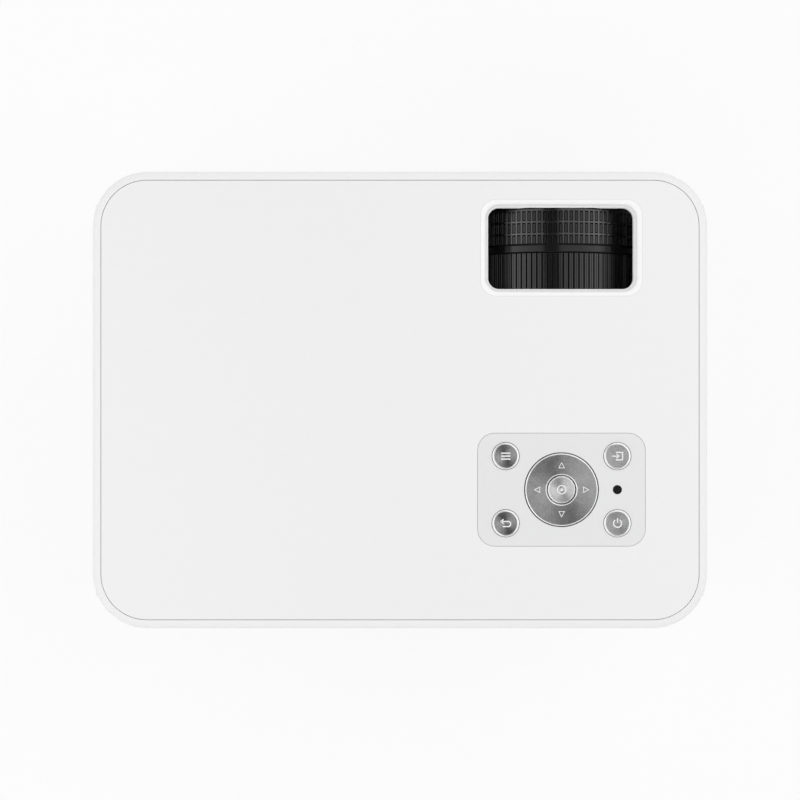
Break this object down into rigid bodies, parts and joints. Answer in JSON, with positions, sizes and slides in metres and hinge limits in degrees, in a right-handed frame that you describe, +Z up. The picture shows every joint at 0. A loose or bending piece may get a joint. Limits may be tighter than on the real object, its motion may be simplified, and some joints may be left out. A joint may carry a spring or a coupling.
{
  "type": "video projector with built-in disc player",
  "caption": "Low box-shaped video projector: recessed front lens, focus and keystone rings under a window in the top, round keys on a plate, a sliding disc tray and rear sockets.",
  "frame": {"origin": "on the table under the middle of the case", "axes": "+Z up, the lens and the disc tray face -Y, the sockets face +Y, +X is the drive's side"},
  "size_m": [0.28, 0.208, 0.1047],
  "materials": {
    "case_white": "fine-textured white ABS",
    "panel_white": "smooth satin white ABS",
    "plate_grey": "silver-grey painted sheet",
    "key_metal": "circular-brushed metal cap",
    "ring_black": "black moulded grip",
    "black_plastic": "black moulding",
    "dark_window": "dark infrared-passing plastic",
    "rubber_black": "soft black rubber",
    "steel_zinc": "zinc-plated sheet and pins",
    "aluminium_bare": "bare extruded fins",
    "brass_bare": "turned brass",
    "lens_glass": "coated optical glass",
    "optic_plastic": "clear moulded optic",
    "lcd_glass": "dark picture panel",
    "mirror_face": "front-surface mirror",
    "board_green": "solder-masked board with parts",
    "grey_plastic": "grey moulding"
  },
  "bodies": {
    "chassis": {"bottom_cover": "case_white", "upper_housing": "case_white", "top_panel": "panel_white", "left_grille": "panel_white", "right_grille": "panel_white", "port_panel": "black_plastic", "rubber_feet": "rubber_black", "threaded_inserts": "brass_bare", "case_screws": "steel_zinc", "control_plate": "plate_grey", "key_board": "board_green", "tact_switches": "black_plastic", "ir_window": "dark_window", "lens_trim_ring": "black_plastic", "lens_tube": "black_plastic", "lens_bracket": "black_plastic", "light_box_lower": "black_plastic", "light_box_upper": "black_plastic", "field_fresnel": "optic_plastic", "lcd_panel": "lcd_glass", "collimator_fresnel": "optic_plastic", "condenser_lens": "lens_glass", "led_lamp": "aluminium_bare", "heat_sink": "aluminium_bare", "fan_frame": "black_plastic", "main_board": "board_green", "port_sockets": "steel_zinc", "power_inlet": "black_plastic", "power_supply": "board_green", "speakers": "black_plastic", "drive_bridge": "steel_zinc", "drive_case": "steel_zinc", "drive_cover": "steel_zinc", "spindle_motor": "steel_zinc", "traverse_frame": "steel_zinc"},
    "focus": {"focus_ring": "ring_black"},
    "barrel": {"lens_barrel": "black_plastic", "front_lens": "lens_glass", "rear_lens": "lens_glass"},
    "keystone": {"keystone_ring": "ring_black"},
    "rod": {"keystone_rod": "steel_zinc"},
    "mirror_tray": {"mirror_frame": "grey_plastic", "mirror": "mirror_face"},
    "menu_key": {"menu_button": "key_metal"},
    "source_key": {"source_button": "key_metal"},
    "back_key": {"back_button": "key_metal"},
    "power_key": {"power_button": "key_metal"},
    "ok_key": {"ok_button": "key_metal"},
    "gimbal": {"nav_spider": "steel_zinc"},
    "nav": {"nav_ring": "key_metal"},
    "tray": {"disc_tray": "black_plastic", "tray_bezel": "case_white"},
    "eject": {"eject_button": "key_metal"},
    "rails": {"tray_rails": "steel_zinc"},
    "spindle": {"turntable": "black_plastic"},
    "sled": {"pickup_sled": "grey_plastic"},
    "screw": {"lead_screw": "steel_zinc"},
    "fan": {"fan_rotor": "black_plastic"},
    "foot": {"foot_pad": "rubber_black"},
    "foot_wheel": {"foot_screw": "black_plastic"}
  },
  "joints": [
    {"name": "focus_turn", "type": "hinge", "parent": "chassis", "child": "focus", "pos_m": [-0.0733, -0.078, 0.0555], "axis": [0, 1, 0], "range_deg": [-60, 60]},
    {"name": "lens_travel", "type": "slide", "parent": "chassis", "child": "barrel", "axis": [0, 1, 0], "range_m": [-0.00397, 0.00397]},
    {"name": "keystone_turn", "type": "hinge", "parent": "chassis", "child": "keystone", "pos_m": [-0.0733, -0.057, 0.0555], "axis": [0, 1, 0], "range_deg": [-30, 30]},
    {"name": "rod_slide", "type": "slide", "parent": "chassis", "child": "rod", "axis": [0, 1, 0], "range_m": [-0.0016, 0.0016]},
    {"name": "mirror_tilt", "type": "hinge", "parent": "chassis", "child": "mirror_tray", "pos_m": [-0.0733, 0.052, 0.0555], "axis": [-0.7071, -0.7071, 0], "range_deg": [-4.4, 4.4]},
    {"name": "menu_press", "type": "slide", "parent": "chassis", "child": "menu_key", "axis": [0, 0, -1], "range_m": [0, 0.0006], "stiffness_N_per_m": 500},
    {"name": "source_press", "type": "slide", "parent": "chassis", "child": "source_key", "axis": [0, 0, -1], "range_m": [0, 0.0006], "stiffness_N_per_m": 500},
    {"name": "back_press", "type": "slide", "parent": "chassis", "child": "back_key", "axis": [0, 0, -1], "range_m": [0, 0.0006], "stiffness_N_per_m": 500},
    {"name": "power_press", "type": "slide", "parent": "chassis", "child": "power_key", "axis": [0, 0, -1], "range_m": [0, 0.0006], "stiffness_N_per_m": 500},
    {"name": "ok_press", "type": "slide", "parent": "chassis", "child": "ok_key", "axis": [0, 0, -1], "range_m": [0, 0.0006], "stiffness_N_per_m": 500},
    {"name": "nav_tilt_x", "type": "hinge", "parent": "chassis", "child": "gimbal", "pos_m": [-0.0733, 0.0407, 0.0997], "axis": [1, 0, 0], "range_deg": [-1.6, 1.6], "stiffness_Nm_per_rad": 0.2},
    {"name": "nav_tilt_y", "type": "hinge", "parent": "gimbal", "child": "nav", "pos_m": [-0.0733, 0.0407, 0.0997], "axis": [0, 1, 0], "range_deg": [-1.6, 1.6], "stiffness_Nm_per_rad": 0.2},
    {"name": "tray_slide", "type": "slide", "parent": "chassis", "child": "tray", "axis": [0, -1, 0], "range_m": [0, 0.118]},
    {"name": "rail_slide", "type": "slide", "parent": "chassis", "child": "rails", "axis": [0, -1, 0], "range_m": [0, 0.0592]},
    {"name": "eject_press", "type": "slide", "parent": "tray", "child": "eject", "axis": [0, 1, 0], "range_m": [0, 0.0006], "stiffness_N_per_m": 500},
    {"name": "turntable_spin", "type": "hinge", "parent": "chassis", "child": "spindle", "pos_m": [0.0495, -0.037, 0.0915], "axis": [0, 0, 1], "continuous": true},
    {"name": "lead_screw_turn", "type": "hinge", "parent": "chassis", "child": "screw", "pos_m": [0.074, 0, 0.0893], "axis": [0, 1, 0], "range_deg": [0, 3950]},
    {"name": "sled_slide", "type": "slide", "parent": "chassis", "child": "sled", "axis": [0, 1, 0], "range_m": [0, 0.0329]},
    {"name": "fan_spin", "type": "hinge", "parent": "chassis", "child": "fan", "pos_m": [0.129, 0.042, 0.0525], "axis": [1, 0, 0], "continuous": true},
    {"name": "foot_slide", "type": "slide", "parent": "chassis", "child": "foot", "axis": [0, 0, -1], "range_m": [0, 0.012]},
    {"name": "foot_turn", "type": "hinge", "parent": "foot", "child": "foot_wheel", "pos_m": [0, -0.082, 0.01], "axis": [0, 0, -1], "range_deg": [0, 1441]}
  ],
  "couplings": [
    {"joint": "focus_turn", "follows": "lens_travel", "rad_per_m": 263.16},
    {"joint": "rod_slide", "follows": "keystone_turn", "m_per_rad": 0.0028545},
    {"joint": "mirror_tilt", "follows": "keystone_turn", "ratio": 0.13684},
    {"joint": "rail_slide", "follows": "tray_slide", "ratio": 0.5},
    {"joint": "lead_screw_turn", "follows": "sled_slide", "rad_per_m": 2094.4},
    {"joint": "foot_turn", "follows": "foot_slide", "rad_per_m": 2094.4}
  ]
}
